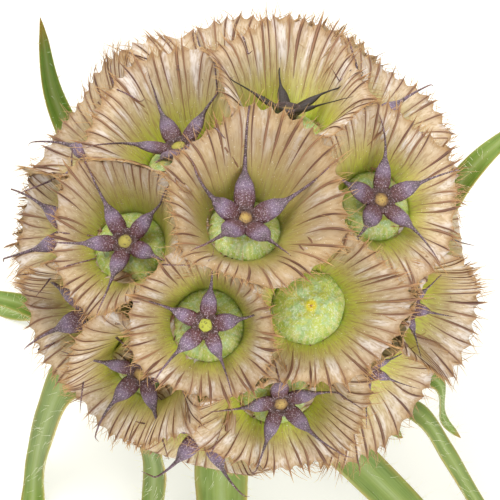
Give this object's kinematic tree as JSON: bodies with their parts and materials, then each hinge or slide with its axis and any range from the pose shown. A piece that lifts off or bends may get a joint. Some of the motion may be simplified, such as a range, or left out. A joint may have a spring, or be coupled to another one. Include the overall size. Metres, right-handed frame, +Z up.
{
  "type": "starflower scabious seed head",
  "caption": "Round dried seed head of papery star-centred funnels with leafy bracts under it and a short cut stalk.",
  "frame": {"origin": "middle of the underside of the box round the whole object, on the surface it stands on", "axes": "+Z up through the head's apex; -Y is the side seen from the front and below in the reference view"},
  "size_m": [0.0454, 0.041, 0.0439],
  "materials": {
    "corona": "matt papery membrane",
    "calyx": "matt purple-brown husk",
    "stalk": "matt green stalk",
    "bract": "satin leaf"
  },
  "bodies": {
    "root": {"seed_head": "corona", "peduncle": "stalk", "bract_01": "bract", "bract_02": "bract", "bract_03": "bract", "bract_04": "bract", "bract_05": "bract", "bract_06": "bract", "bract_07": "bract", "bract_08": "bract", "bract_09": "bract", "bract_10": "bract", "bract_11": "bract", "bract_12": "bract", "bract_13": "bract"}
  },
  "joints": []
}
